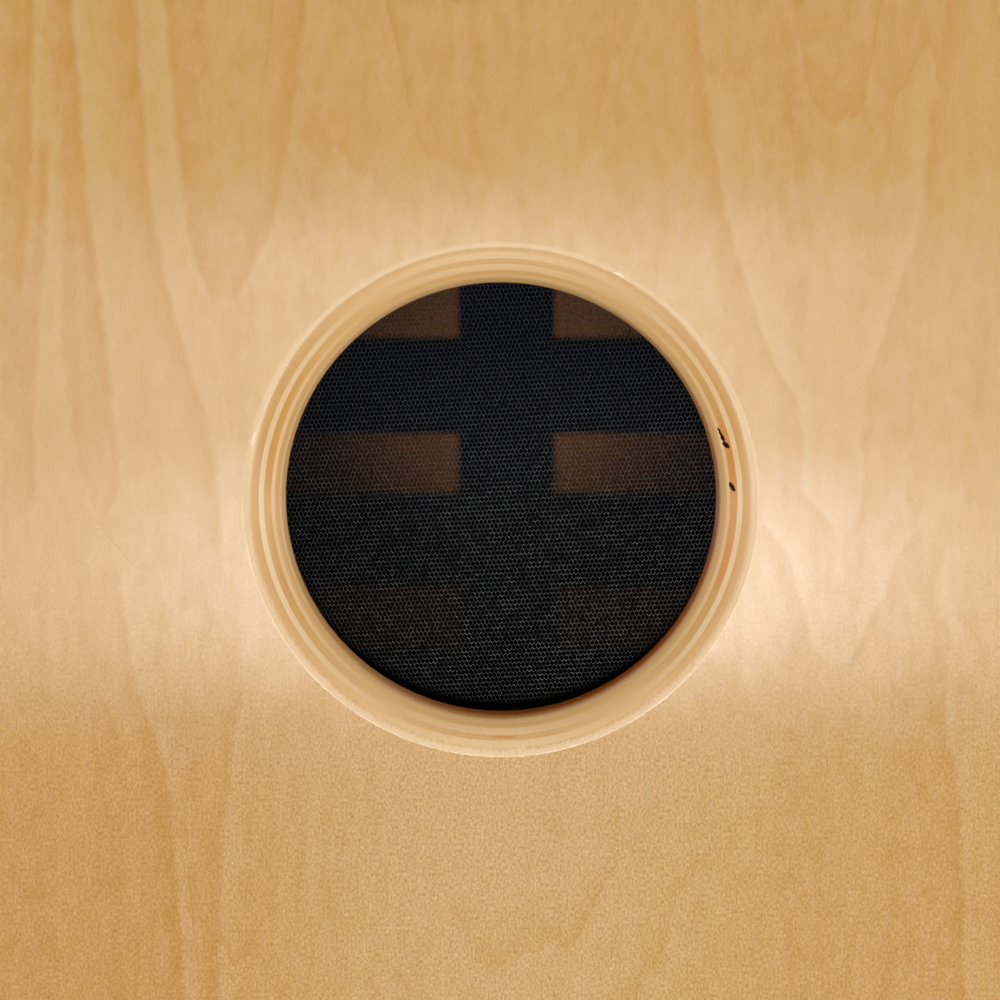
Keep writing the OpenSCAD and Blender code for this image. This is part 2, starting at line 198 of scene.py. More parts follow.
# Levels of the room's light and of the pale backdrop, then the lamps: name, place, aim, size and power
room_level = 0.37
backdrop_level = 0.56
body_middle = (0, 0, 0.25)
lamps = [
    ("key", (0.025, -1.45, 0.122), hole_centre, 0.26, 0.17, 2.75),
    ("rear_mid", (0.0, -1.15, 0.330), hole_centre, 0.30, 0.155, 0.82),
    ("tall_left", (-1.45, -0.80, 0.30), hole_centre, 0.85, 0.50, 4.2),
    ("tall_right", (1.45, -0.80, 0.30), hole_centre, 0.85, 0.50, 6.0),
    ("left_fill", (-1.7, 0.45, 1.2), body_middle, 1.2, 1.2, 8.0),
    ("right_fill", (1.7, 0.45, 1.2), body_middle, 1.2, 1.2, 8.0),
    ("front_fill", (0.2, 1.8, 1.0), body_middle, 1.4, 1.2, 10.0),
]


# Node helpers

def feed(tree, socket, value):
    """Links an input to another node's output, or sets its value."""
    if isinstance(value, bpy.types.NodeSocket):
        tree.links.new(value, socket)
    else:
        socket.default_value = value


def put(tree, kind, options=None, inputs=None):
    """Adds a shader node, sets its options, and fills or links its inputs."""
    node = tree.nodes.new("ShaderNode" + kind)
    for name, value in (options or {}).items():
        setattr(node, name, value)
    for name, value in (inputs or {}).items():
        feed(tree, node.inputs[name], value)
    return node


def calc(tree, operation, first, second=0.0, third=0.0, clamp=False):
    values = {0: first, 1: second, 2: third}
    return put(tree, "Math", {"operation": operation, "use_clamp": clamp}, values).outputs[0]


def span(tree, value, low, high, to_low=0.0, to_high=1.0, smooth=False):
    """Maps a value from one range to another and clamps it there."""
    options = {"interpolation_type": "SMOOTHSTEP" if smooth else "LINEAR"}
    inputs = {"Value": value, "From Min": low, "From Max": high, "To Min": to_low, "To Max": to_high}
    return put(tree, "MapRange", options, inputs).outputs["Result"]


def blend(tree, share, first, second, how="MIX"):
    """Mixes two colours by a share."""
    node = tree.nodes.new("ShaderNodeMix")
    node.data_type = "RGBA"
    node.blend_type = how
    feed(tree, node.inputs[0], share)
    feed(tree, node.inputs[6], first)
    feed(tree, node.inputs[7], second)
    return node.outputs[2]


def tinted(tree, share, colour, tint):
    """Multiplies a colour by a tint, by a share."""
    return blend(tree, share, colour, blend(tree, 1.0, colour, tint, "MULTIPLY"))


def stretch(tree, vector, scale, place=(0, 0, 0)):
    inputs = {"Vector": vector, "Scale": scale, "Location": place}
    return put(tree, "Mapping", None, inputs).outputs["Vector"]


def cloud(tree, vector, scale, detail=3.0, roughness=0.5, distortion=0.0):
    """Noise of a mean of one half."""
    inputs = {
        "Vector": vector, "Scale": scale, "Detail": detail,
        "Roughness": roughness, "Distortion": distortion,
    }
    return put(tree, "TexNoise", {"noise_dimensions": "3D"}, inputs).outputs[0]


def ramp(tree, value, stops, interpolation="LINEAR"):
    node = put(tree, "ValToRGB", None, {"Fac": value})
    band = node.color_ramp
    band.interpolation = interpolation
    band.elements[0].position = stops[0][0]
    band.elements[0].color = stops[0][1]
    band.elements[1].position = stops[1][0]
    band.elements[1].color = stops[1][1]
    for place, colour in stops[2:]:
        band.elements.new(place).color = colour
    return node.outputs["Color"]


def traced(tree, value, path_mm):
    """Height of a drawn path at a place across the sheet."""
    first = path_mm[0][0] * MM
    last = path_mm[-1][0] * MM
    lowest = min(z for x, z in path_mm) * MM
    highest = max(z for x, z in path_mm) * MM
    curve = put(tree, "FloatCurve", None, {"Value": span(tree, value, first, last)})
    points = curve.mapping.curves[0].points
    for number, (x, z) in enumerate(path_mm):
        spot = ((x * MM - first) / (last - first), (z * MM - lowest) / (highest - lowest))
        if number in (0, len(path_mm) - 1):
            points[-1 if number else 0].location = spot
        else:
            points.new(*spot)
    curve.mapping.update()
    return calc(tree, "MULTIPLY_ADD", curve.outputs[0], highest - lowest, lowest)


def vector_calc(tree, operation, first, second):
    return put(tree, "VectorMath", {"operation": operation}, {0: first, 1: second}).outputs["Vector"]


def length(tree, vector):
    return put(tree, "VectorMath", {"operation": "LENGTH"}, {0: vector}).outputs["Value"]


def split(tree, vector):
    return put(tree, "SeparateXYZ", None, {"Vector": vector}).outputs


def join(tree, x, y, z):
    return put(tree, "CombineXYZ", None, {"X": x, "Y": y, "Z": z}).outputs["Vector"]


def bump(tree, height, strength, distance, normal=None):
    inputs = {"Height": height, "Strength": strength, "Distance": distance}
    if normal:
        inputs["Normal"] = normal
    return put(tree, "Bump", None, inputs).outputs["Normal"]


def object_place(tree):
    return tree.nodes.new("ShaderNodeTexCoord").outputs["Object"]


def surface_facing(tree):
    return tree.nodes.new("ShaderNodeNewGeometry").outputs["Normal"]


def new_material(name):
    """A bare material, its tree and its Principled shader."""
    material = bpy.data.materials.new(name)
    material.use_nodes = True
    tree = material.node_tree
    return material, tree, tree.nodes["Principled BSDF"]


def fill(tree, shader, **values):
    """Sets or links a shader's sockets, named with underscores for spaces."""
    for name, value in values.items():
        feed(tree, shader.inputs[name.replace("_", " ")], value)


def new_group(name, inputs, outputs):
    """A shader node group with named sockets, and its two end nodes."""
    tree = bpy.data.node_groups.new(name, "ShaderNodeTree")
    kinds = {"value": "NodeSocketFloat", "vector": "NodeSocketVector"}
    for label, kind in inputs.items():
        tree.interface.new_socket(label, in_out="INPUT", socket_type=kinds[kind])
    for label, kind in outputs.items():
        tree.interface.new_socket(label, in_out="OUTPUT", socket_type=kinds[kind])
    start = tree.nodes.new("NodeGroupInput")
    end = tree.nodes.new("NodeGroupOutput")
    return tree, start.outputs, end.inputs


def use_group(tree, group, inputs):
    node = tree.nodes.new("ShaderNodeGroup")
    node.node_tree = group
    for name, value in inputs.items():
        feed(tree, node.inputs[name], value)
    return node.outputs


# Shared effects
# A sheet vector is (across the face grain, depth from the outer face, along the face grain)

def make_growth_figure():
    """Rotary-cut birch: V-shaped growth lines, soft streaks, fine fibres and a speckled surface."""
    group, start, end = new_group(
        "birch_figure",
        {"Sheet": "vector", "Shift": "vector"},
        {
            "Line": "value", "Streak": "value", "Mottle": "value",
            "Patch": "value", "Fibre": "value", "Speckle": "value",
        },
    )
    moved = vector_calc(group, "ADD", start["Sheet"], start["Shift"])
    wander = cloud(group, stretch(group, moved, (14, 14, 3.5)), 1.0, 2.0)
    drift = calc(group, "MULTIPLY_ADD", wander, 24 * MM, -12 * MM)
    across = calc(group, "ADD", split(group, moved)[0], drift)
    along = split(group, moved)[2]
    half = growth_line_mm[-1][0] * MM
    place = calc(group, "PINGPONG", calc(group, "ADD", across, half), 2 * half)
    height = traced(group, calc(group, "SUBTRACT", place, half), growth_line_mm)
    sway = cloud(group, stretch(group, moved, (40, 40, 6)), 1.0, 3.0)
    sway = calc(group, "MULTIPLY_ADD", sway, 1.6, -0.8)
    turns = calc(group, "DIVIDE", calc(group, "SUBTRACT", along, height), growth_line_gap_mm * MM)
    phase = calc(group, "FRACT", calc(group, "ADD", turns, sway))
    line = ramp(group, phase, [
        (0.0, (0, 0, 0, 1)), (0.03, (1, 1, 1, 1)), (0.08, (0.62, 0.62, 0.62, 1)),
        (0.18, (0.30, 0.30, 0.30, 1)), (0.40, (0.08, 0.08, 0.08, 1)), (0.70, (0, 0, 0, 1)),
    ])
    presence = cloud(group, stretch(group, moved, (16, 16, 5), (3, 1, 7)), 1.0, 2.0)
    presence = span(group, presence, 0.38, 0.66)
    group.links.new(calc(group, "MULTIPLY", line, presence), end["Line"])
    broad = cloud(group, stretch(group, moved, (105, 105, 7)), 1.0, 3.0, 0.6)
    group.links.new(span(group, broad, 0.3, 0.7), end["Streak"])
    blotch = cloud(group, stretch(group, moved, (240, 240, 110)), 1.0, 3.0, 0.7)
    group.links.new(span(group, blotch, 0.32, 0.68), end["Mottle"])
    sheen = cloud(group, stretch(group, moved, (75, 75, 32), (5, 2, 9)), 1.0, 1.0, 0.5)
    group.links.new(span(group, sheen, 0.3, 0.7), end["Patch"])
    fibre = cloud(group, stretch(group, moved, (1500, 1500, 95)), 1.0, 2.0, 0.6)
    group.links.new(span(group, fibre, 0.25, 0.75), end["Fibre"])
    speck = cloud(group, stretch(group, moved, (1700, 1700, 1050)), 1.0, 2.0, 0.6)
    group.links.new(span(group, speck, 0.28, 0.72), end["Speckle"])
    return group


def make_ply_cut(name, plies_mm):
    """Tells at each depth of a sheet how far the fibres are cut across, where glue lines are, and where a
    rim highlight is painted.
    """
    group, start, end = new_group(
        name,
        {"Sheet": "vector", "Facing": "vector"},
        {"Cut": "value", "End grain": "value", "Glue": "value", "Face": "value", "Feather": "value"},
    )
    whole = sum(plies_mm)
    half_glue = glue_line_mm / 2
    stops = [(0.0, (0, 0, 1, 1))]
    depth_mm = 0.0
    for number, ply in enumerate(plies_mm[:-1], start=1):
        depth_mm += ply
        cross = float(number % 2)
        stops.append(((depth_mm - half_glue) / whole, (cross, 1, 0, 1)))
        stops.append(((depth_mm + half_glue) / whole, (cross, 0, 0, 1)))
    depth = split(group, start["Sheet"])[1]
    share = calc(group, "DIVIDE", depth, whole * MM, clamp=True)
    layers = ramp(group, share, stops, "CONSTANT")
    cross, glue, face = put(group, "SeparateColor", None, {"Color": layers}).outputs
    facing = split(group, start["Facing"])
    across_cut = calc(group, "MULTIPLY", facing[0], facing[0])
    along_cut = calc(group, "MULTIPLY", facing[2], facing[2])
    either = calc(group, "MAXIMUM", calc(group, "ADD", across_cut, along_cut), 1e-6)
    cross_end = calc(group, "POWER", calc(group, "DIVIDE", across_cut, either), 0.8)
    long_end = calc(group, "POWER", calc(group, "DIVIDE", along_cut, either), 2.0)
    long_end = calc(group, "MULTIPLY", long_end, 0.55)
    cut = calc(group, "MULTIPLY_ADD", cross, calc(group, "SUBTRACT", cross_end, long_end), long_end)
    layer = cloud(group, stretch(group, start["Sheet"], (38, 1500, 38)), 1.0, 3.0, 0.6)
    streaked = calc(group, "ADD", cut, span(group, layer, 0.2, 0.8, -0.15, 0.15))
    tilt = calc(group, "SUBTRACT", 1.0, calc(group, "ABSOLUTE", facing[1]))
    leaving = span(group, tilt, 0.004, 0.03)
    group.links.new(calc(group, "MULTIPLY", span(group, streaked, 0.0, 0.95), leaving), end["End grain"])
    group.links.new(span(group, tilt, 0.006, 0.045), end["Cut"])
    group.links.new(calc(group, "MULTIPLY", glue, span(group, tilt, 0.05, 0.4)), end["Glue"])
    group.links.new(face, end["Face"])
    # Painted highlight along the rim where the rounded edge leaves the outer face
    rising = span(group, depth, 0.02 * MM, 0.06 * MM, smooth=True)
    falling = span(group, depth, 0.09 * MM, 0.17 * MM, 1.0, 0.0, True)
    group.links.new(calc(group, "MULTIPLY", rising, falling), end["Feather"])
    return group


def make_growth_band():
    """A growth line by the distance to it: brown and fading on its soft side, a pale sheen on the other."""
    group, start, end = new_group("growth_band", {"Offset": "value"}, {"Brown": "value", "Pale": "value"})
    share = span(group, start["Offset"], -8 * MM, 12 * MM)
    sides = ramp(group, share, [
        (0.0, (0, 0, 0, 1)), (0.20, (0, 0.5, 0, 1)), (0.34, (0, 1, 0, 1)), (0.40, (0.5, 0, 0, 1)),
        (0.43, (1, 0, 0, 1)), (0.49, (0.8, 0, 0, 1)), (0.60, (0.35, 0, 0, 1)), (0.76, (0.1, 0, 0, 1)),
        (1.0, (0, 0, 0, 1)),
    ])
    band = put(group, "SeparateColor", None, {"Color": sides}).outputs
    group.links.new(band["Red"], end["Brown"])
    group.links.new(band["Green"], end["Pale"])
    return group


def make_spot():
    """A soft-edged oval mask about a place, turned to lie along a surface."""
    group, start, end = new_group(
        "oval_spot",
        {"Place": "vector", "Centre": "vector", "Turn": "vector", "Size": "vector"},
        {"Mask": "value"},
    )
    local = put(group, "Mapping", {"vector_type": "TEXTURE"}, {
        "Vector": start["Place"],
        "Location": start["Centre"],
        "Rotation": start["Turn"],
        "Scale": start["Size"],
    }).outputs["Vector"]
    reach = length(group, local)
    group.links.new(span(group, reach, 0.75, 1.1, 1.0, 0.0, True), end["Mask"])
    return group


birch_figure = make_growth_figure()
thick_ply_cut = make_ply_cut("twelve_millimetre_plies", thick_plies_mm)
thin_ply_cut = make_ply_cut("four_millimetre_plies", thin_plies_mm)
growth_band = make_growth_band()
oval_spot = make_spot()

# Colours of the woods, linear
birch_cream = (0.685, 0.393, 0.094, 1)
birch_tan = (0.63, 0.324, 0.052, 1)
birch_rose = (0.74, 0.430, 0.162, 1)
birch_line = (0.62, 0.280, 0.022, 1)
# Painted sheen on the rear veneer
birch_painted_sheen = (0.84, 0.570, 0.280, 1)
# Painted shade low on the rear veneer
birch_painted_low_shade = (0.965, 0.89, 0.75, 1)
ply_pale = (0.93, 0.630, 0.320, 1)
ply_end = (0.70, 0.340, 0.062, 1)
# Painted highlight at the rim of the sound hole
birch_painted_rim_highlight = (0.92, 0.640, 0.340, 1)
glue_brown = (0.28, 0.130, 0.045, 1)
# Painted shade inside the core voids
void_painted_shade = (0.085, 0.020, 0.006, 1)
resin_brown = (0.76, 0.250, 0.008, 1)
# Painted shade on the sound hole's inner lip
lip_painted_shade = (0.46, 0.20, 0.06, 1)
# Painted light on the walls of the sound hole
painted_wall_light_gold = (1.0, 0.600, 0.220, 1)

# Heights of the birch's relief beside one another, and the lacquer over it
figure_relief = {"Patch": 3.0, "Speckle": 0.2, "Fibre": 0.5, "Mottle": 0.4}
relief_strength = 0.35
relief_depth = 0.05 * MM
lacquer_stretch = 0.93

# Colours of the other pieces, linear
pine_early = (0.70, 0.48, 0.25, 1)
pine_late = (0.50, 0.29, 0.11, 1)
net_black = (0.002, 0.0022, 0.003, 1)
net_lint = (0.006, 0.0064, 0.0075, 1)
# Painted dim blue for the top of the net
net_painted_dim_blue = (0.0035, 0.0042, 0.0085, 1)
# Painted shadow for the net near its rim
net_painted_shadow = (0.0008, 0.0008, 0.0008, 1)
felt_black = (0.006, 0.006, 0.007, 1)
felt_grey = (0.016, 0.016, 0.018, 1)
zinc_dull = (0.56, 0.57, 0.58, 1)
zinc_bright = (0.72, 0.73, 0.74, 1)
# Painted shade in the grooves between the snare coil's turns
wire_painted_groove_shade = (0.30, 0.30, 0.31, 1)
wire_bright = (0.78, 0.78, 0.79, 1)
rubber_black = (0.016, 0.016, 0.017, 1)
rubber_dust = (0.045, 0.043, 0.040, 1)
floor_pale = (0.76, 0.76, 0.75, 1)
room_white = (1.0, 0.985, 0.96, 1)
backdrop_white = (1, 1, 1, 1)

# Inner veneer tint of the playing plate, painted shade away from a painted pool of light, painted shade
# beside the felt, and the pool's middle
inner_brown = (0.90, 0.63, 0.53, 1)
inner_painted_shade = (0.18, 0.12, 0.10, 1)
felt_edge_painted_shade = (0.06, 0.04, 0.03, 1)
painted_light_pool_middle = Vector((7 * MM, plate_face - sum(thin_plies_mm) * MM, 318 * MM))


# Materials

def sheet_vectors(tree, across, depth, along, outer, inward):
    """Sheet place and facing of a panel, from the axes that it lies along and its outer face."""
    place = split(tree, object_place(tree))
    facing = split(tree, surface_facing(tree))
    sunk = calc(tree, "MULTIPLY", calc(tree, "SUBTRACT", place[depth], outer), inward)
    sheet = join(tree, place[across], sunk, place[along])
    return sheet, join(tree, facing[across], facing[depth], facing[along])


def drawn_lines(tree, sheet, paths_mm):
    """Brown and pale sides of drawn growth lines, and where there are none."""
    straight = split(tree, sheet)["X"]
    along = split(tree, sheet)["Z"]
    waver = cloud(tree, stretch(tree, sheet, (90, 90, 140)), 1.0, 3.0, 0.6)
    across = calc(tree, "ADD", straight, span(tree, waver, 0.2, 0.8, -1.0 * MM, 1.0 * MM))
    brown = 0.0
    pale = 0.0
    for strength, side, path in paths_mm:
        offset = calc(tree, "SUBTRACT", across, traced(tree, along, path))
        band = use_group(tree, growth_band, {"Offset": calc(tree, "MULTIPLY", offset, side)})
        lowest = path[0][0] * MM
        highest = path[-1][0] * MM
        rise = span(tree, along, lowest, lowest + 5 * MM, 0.0, strength)
        fall = span(tree, along, highest - 9 * MM, highest, 1.0, 0.0)
        ends = calc(tree, "MULTIPLY", rise, fall)
        brown = calc(tree, "MAXIMUM", calc(tree, "MULTIPLY", band["Brown"], ends), brown)
        pale = calc(tree, "MAXIMUM", calc(tree, "MULTIPLY", band["Pale"], ends), pale)
    brown = calc(tree, "MULTIPLY", brown, span(tree, across, 30 * MM, 80 * MM, 1.0, 0.75))
    low = span(tree, along, 185 * MM, 215 * MM, 1.0, 0.0)
    high = span(tree, along, 365 * MM, 395 * MM)
    return brown, pale, calc(tree, "ADD", low, high)


def birch_colours(tree, sheet, facing, ply_cut, shift, paths_mm=None):
    """Colour, roughness and relief of lacquered birch plywood, cut anywhere through its plies, with painted
    sheen, shade and glints on the rear veneer.
    """
    figure = use_group(tree, birch_figure, {"Sheet": sheet, "Shift": shift})
    cut = use_group(tree, ply_cut, {"Sheet": sheet, "Facing": facing})
    line = figure["Line"]
    gloss = calc(tree, "MULTIPLY_ADD", figure["Patch"], 0.03, -0.015)
    gloss = calc(tree, "MULTIPLY_ADD", figure["Mottle"], 0.02, gloss)
    coarse = 1.0
    fine = 1.0
    if paths_mm:
        across = split(tree, sheet)["X"]
        along = split(tree, sheet)["Z"]
        brown, pale, elsewhere = drawn_lines(tree, sheet, paths_mm)
        line = calc(tree, "MAXIMUM", brown, calc(tree, "MULTIPLY", line, elsewhere))
        gloss = calc(tree, "MULTIPLY_ADD", pale, 0.025, gloss)
        # Speckle strength: large low on the rear veneer, where it is partly painted glints, small higher up
        coarse = span(tree, along, 218 * MM, 290 * MM, 11.0, 1.6)
        bare = calc(tree, "MAXIMUM", cut["Cut"], cut["Feather"])
        coarse = calc(tree, "MULTIPLY", coarse, calc(tree, "MULTIPLY_ADD", bare, -0.85, 1.0))
        fine = span(tree, along, 270 * MM, 330 * MM, 1.0, 0.3)
    colour = blend(tree, figure["Streak"], birch_cream, birch_tan)
    colour = blend(tree, calc(tree, "MULTIPLY", figure["Mottle"], 0.85), colour, birch_rose)
    if paths_mm:
        # Painted shade: darker and warmer towards the bottom, most at the left
        lower = span(tree, along, 220 * MM, 244 * MM, 1.0, 0.0)
        painted_low_shade = calc(tree, "MULTIPLY", lower, span(tree, across, -110 * MM, 0.0, 1.0, 0.25))
        colour = tinted(tree, painted_low_shade, colour, birch_painted_low_shade)
        # Painted sheen: a pale patch low in the middle
        middle = span(tree, calc(tree, "ABSOLUTE", across), 25 * MM, 95 * MM, 0.3, 0.0)
        colour = blend(tree, calc(tree, "MULTIPLY", lower, middle), colour, birch_painted_sheen)
        # Painted sheen beside the growth lines, whose pale side also has lower roughness
        colour = blend(tree, calc(tree, "MULTIPLY", pale, 0.25), colour, birch_painted_sheen)
    uneven = span(tree, figure["Mottle"], 0.0, 1.0, 0.82, 0.46)
    lines = calc(tree, "MULTIPLY", calc(tree, "MULTIPLY", line, uneven), cut["Face"])
    colour = blend(tree, lines, colour, birch_line)
    plies = blend(tree, cut["End grain"], ply_pale, ply_end)
    plies = blend(tree, calc(tree, "MULTIPLY", cut["Glue"], 0.4), plies, glue_brown)
    colour = blend(tree, cut["Cut"], colour, plies)
    colour = blend(tree, calc(tree, "MULTIPLY", cut["Feather"], 0.7), colour, birch_painted_rim_highlight)
    # Fibre hatch and speckle: grain, with the speckle partly painted glints low on the rear veneer
    hatch = calc(tree, "MULTIPLY", calc(tree, "SUBTRACT", figure["Fibre"], 0.5), fine)
    hatch = calc(tree, "MULTIPLY_ADD", calc(tree, "SUBTRACT", figure["Speckle"], 0.5), coarse, hatch)
    hatch = calc(tree, "MULTIPLY_ADD", hatch, 0.06, 1.0)
    shade = put(tree, "CombineColor", None, {
        "Red": calc(tree, "MULTIPLY_ADD", hatch, 0.8, 0.2),
        "Green": hatch,
        "Blue": calc(tree, "MULTIPLY_ADD", hatch, 1.5, -0.5),
    }).outputs[0]
    colour = blend(tree, 1.0, colour, shade, "MULTIPLY")
    rough = calc(tree, "SUBTRACT", span(tree, figure["Fibre"], 0.0, 1.0, 0.225, 0.26), gloss)
    rough = calc(tree, "MULTIPLY_ADD", line, 0.03, rough)
    rough = calc(tree, "MULTIPLY_ADD", cut["Cut"], 0.18, rough)
    rough = calc(tree, "MULTIPLY_ADD", cut["Feather"], 0.20, rough)
    relief = 0.0
    for kind, height in figure_relief.items():
        relief = calc(tree, "MULTIPLY_ADD", figure[kind], height, relief)
    return colour, rough, relief


def finish_plywood(tree, shader, grain_axis, colour, rough, relief, normal=None, shine=1.0):
    """Satin lacquer whose shine spreads across the fibres."""
    fill(tree, shader, Base_Color=colour, Roughness=rough)
    fill(tree, shader, Anisotropic=lacquer_stretch, Specular_IOR_Level=shine)
    fill(tree, shader, Normal=bump(tree, relief, relief_strength, relief_depth, normal))
    grain_turn = put(tree, "Tangent", {"direction_type": "RADIAL", "axis": grain_axis})
    fill(tree, shader, Tangent=grain_turn.outputs["Tangent"])


def make_panel_finish(name, across, depth, along, outer, inward, shift, ply_cut=thick_ply_cut):
    material, tree, shader = new_material(name)
    sheet, facing = sheet_vectors(tree, across, depth, along, outer, inward)
    finish_plywood(tree, shader, "XYZ"[along], *birch_colours(tree, sheet, facing, ply_cut, shift))
    return material


def painted_felt_shade(tree):
    """Painted shade beside the felt strips: nought under them, rising over a few millimetres on the plate
    beside them.
    """
    place = split(tree, object_place(tree))
    near = felt_half - 0.8 * MM
    far = felt_half + 3.4 * MM
    beside = span(tree, calc(tree, "ABSOLUTE", place["X"]), near, far, smooth=True)
    held = calc(tree, "MAXIMUM", place["Z"], felt_rows[0] - felt_gap / 2)
    held = calc(tree, "MINIMUM", held, felt_rows[1] + felt_gap / 2)
    off_row = calc(tree, "PINGPONG", calc(tree, "SUBTRACT", held, felt_rows[0]), felt_gap / 2)
    return calc(tree, "MULTIPLY", beside, span(tree, off_row, near, far, smooth=True))


def make_front_finish():
    """The playing plate: birch outside, with a red-brown veneer on the inner side that painted shade
    darkens away from a painted pool of light and beside the felt strips.
    """
    material, tree, shader = new_material("birch_front")
    sheet, facing = sheet_vectors(tree, 0, 1, 2, plate_face, -1)
    colour, rough, relief = birch_colours(tree, sheet, facing, thin_ply_cut, (0.86, 0, 0.3))
    inner = calc(tree, "GREATER_THAN", split(tree, sheet)[1], sum(thin_plies_mm[:-1]) * MM)
    spoke = length(tree, vector_calc(tree, "SUBTRACT", object_place(tree), painted_light_pool_middle))
    # Painted light: the inner veneer is palest in a painted pool and darkens outwards
    inner_tint_and_painted_shade = blend(tree, span(tree, spoke, 30 * MM, 90 * MM), inner_brown, inner_painted_shade)
    # Painted shade darkens the veneer beside the felt strips
    inner_tint_and_painted_shade = blend(tree, painted_felt_shade(tree), felt_edge_painted_shade, inner_tint_and_painted_shade)
    colour = tinted(tree, inner, colour, inner_tint_and_painted_shade)
    rough = calc(tree, "MAXIMUM", calc(tree, "MULTIPLY", inner, 0.95), rough)
    finish_plywood(tree, shader, "Z", colour, rough, relief, shine=0.3)
    fill(tree, shader, Coat_Weight=calc(tree, "SUBTRACT", 1.0, inner), Coat_Roughness=0.26)
    return material


def hole_spoke(tree):
    """Place beside and above the sound hole's axis, and the distance from it."""
    place = split(tree, object_place(tree))
    beside = calc(tree, "SUBTRACT", place[0], hole_centre.x)
    above = calc(tree, "SUBTRACT", place[2], hole_centre.z)
    return beside, above, length(tree, join(tree, beside, 0.0, above))


def round_over_facing(tree):
    """Facing of the rear panel, exact on the sound hole's rounded edge and on the flat around it."""
    beside, above, spoke = hole_spoke(tree)
    lean = calc(tree, "DIVIDE", calc(tree, "SUBTRACT", mouth_radius, spoke), hole_round, clamp=True)
    inward = calc(tree, "DIVIDE", lean, calc(tree, "MULTIPLY", spoke, -1.0))
    upright = calc(tree, "SQRT", calc(tree, "SUBTRACT", 1.0, calc(tree, "MULTIPLY", lean, lean)))
    exact = join(
        tree,
        calc(tree, "MULTIPLY", beside, inward),
        calc(tree, "MULTIPLY", upright, -1.0),
        calc(tree, "MULTIPLY", above, inward),
    )
    near = calc(tree, "LESS_THAN", spoke, mouth_radius * 1.4)
    depth = split(tree, object_place(tree))[1]
    near = calc(tree, "MULTIPLY", near, calc(tree, "LESS_THAN", depth, rear_face + hole_round))
    return blend(tree, near, surface_facing(tree), exact)


def crease_masks(tree, place):
    """The shaded and the lit side of the veneer crease."""
    x, y, z = split(tree, place)
    over = calc(tree, "SUBTRACT", z, traced(tree, x, crease_mm))
    first = crease_mm[0][0] * MM
    last = crease_mm[-1][0] * MM
    rise = span(tree, x, first, first + 2 * MM)
    fall = span(tree, x, last - 3 * MM, last, 1.0, 0.0)
    outside = calc(tree, "LESS_THAN", y, rear_face + 0.05 * MM)
    ends = calc(tree, "MULTIPLY", calc(tree, "MULTIPLY", rise, fall), outside)
    dark = calc(tree, "COMPARE", over, 0.20 * MM, 0.28 * MM)
    pale = calc(tree, "COMPARE", over, -0.45 * MM, 0.38 * MM)
    return calc(tree, "MULTIPLY", dark, ends), calc(tree, "MULTIPLY", pale, ends)


def make_back_finish():
    """The rear panel: core voids painted dark as their shade, resin in the sound hole's edge, a crease in
    the veneer, painted light on the hole's walls and painted shade low on its lip.
    """
    material, tree, shader = new_material("birch_back")
    sheet = sheet_vectors(tree, 0, 1, 2, rear_face, 1)[0]
    facing = round_over_facing(tree)
    colour, rough, relief = birch_colours(tree, sheet, facing, thick_ply_cut, (0, 0, -0.16), rear_lines_mm)
    place = object_place(tree)
    ragged = put(tree, "TexNoise", {"noise_dimensions": "3D"}, {
        "Vector": place, "Scale": void_rag_scale, "Detail": 2.0,
    }).outputs["Color"]
    jog = vector_calc(tree, "MULTIPLY", ragged, (void_rag, void_rag, void_rag))
    edge_place = vector_calc(tree, "ADD", place, jog)
    hollow = 0.0
    for centre, lean, size in voids_mm:
        mask = use_group(tree, oval_spot, {
            "Place": edge_place,
            "Centre": Vector(centre) * MM,
            "Turn": (0, -lean, 0),
            "Size": Vector(size) * MM,
        })["Mask"]
        hollow = calc(tree, "MAXIMUM", mask, hollow)
    for share, middle, reach in resins_mm:
        resin = use_group(tree, oval_spot, {
            "Place": place, "Centre": Vector(middle) * MM, "Size": Vector(reach) * MM,
        })["Mask"]
        colour = blend(tree, calc(tree, "MULTIPLY", resin, share), colour, resin_brown)
    dark, pale = crease_masks(tree, place)
    colour = blend(tree, calc(tree, "MULTIPLY", dark, 0.7), colour, birch_line)
    colour = blend(tree, calc(tree, "MULTIPLY", pale, 0.15), colour, ply_pale)
    depth = split(tree, sheet)[1]
    beside, above, spoke = hole_spoke(tree)
    bored = calc(tree, "LESS_THAN", spoke, mouth_radius)
    # Painted light: the hole's walls are lightened a few millimetres deep
    core = calc(tree, "MULTIPLY", span(tree, depth, 1.5 * MM, 4.5 * MM), bored)
    colour = blend(tree, calc(tree, "MULTIPLY", core, 0.4), colour, painted_wall_light_gold)
    # Painted shade: the inner lip darkens, most at the lower right
    lip = calc(tree, "MULTIPLY", span(tree, depth, 5.4 * MM, 8.2 * MM), bored)
    painted_shade_low_right = span(tree, calc(tree, "SUBTRACT", beside, above), -55 * MM, 65 * MM)
    colour = tinted(tree, calc(tree, "MULTIPLY", lip, painted_shade_low_right), colour, lip_painted_shade)
    colour = blend(tree, hollow, colour, void_painted_shade)
    rough = calc(tree, "MAXIMUM", rough, hollow)
    relief = calc(tree, "SUBTRACT", relief, calc(tree, "MULTIPLY", hollow, 2.0))
    finish_plywood(tree, shader, "Z", colour, rough, relief, facing)
    fill(tree, shader, Metallic=hollow)
    return material


def make_pine_finish():
    """Bare softwood battens: straight early and late wood stripes, matt."""
    material, tree, shader = new_material("raw_pine")
    place = stretch(tree, object_place(tree), (260, 260, 5))
    stripe = cloud(tree, place, 1.0, 2.0, 0.5, 0.4)
    fibre = cloud(tree, stretch(tree, object_place(tree), (1600, 1600, 60)), 1.0, 3.0)
    colour = blend(tree, span(tree, stripe, 0.35, 0.65), pine_early, pine_late)
    fill(tree, shader, Base_Color=colour, Roughness=span(tree, fibre, 0.2, 0.8, 0.6, 0.8))
    fill(tree, shader, Normal=bump(tree, fibre, 0.4, 0.1 * MM))
    return material


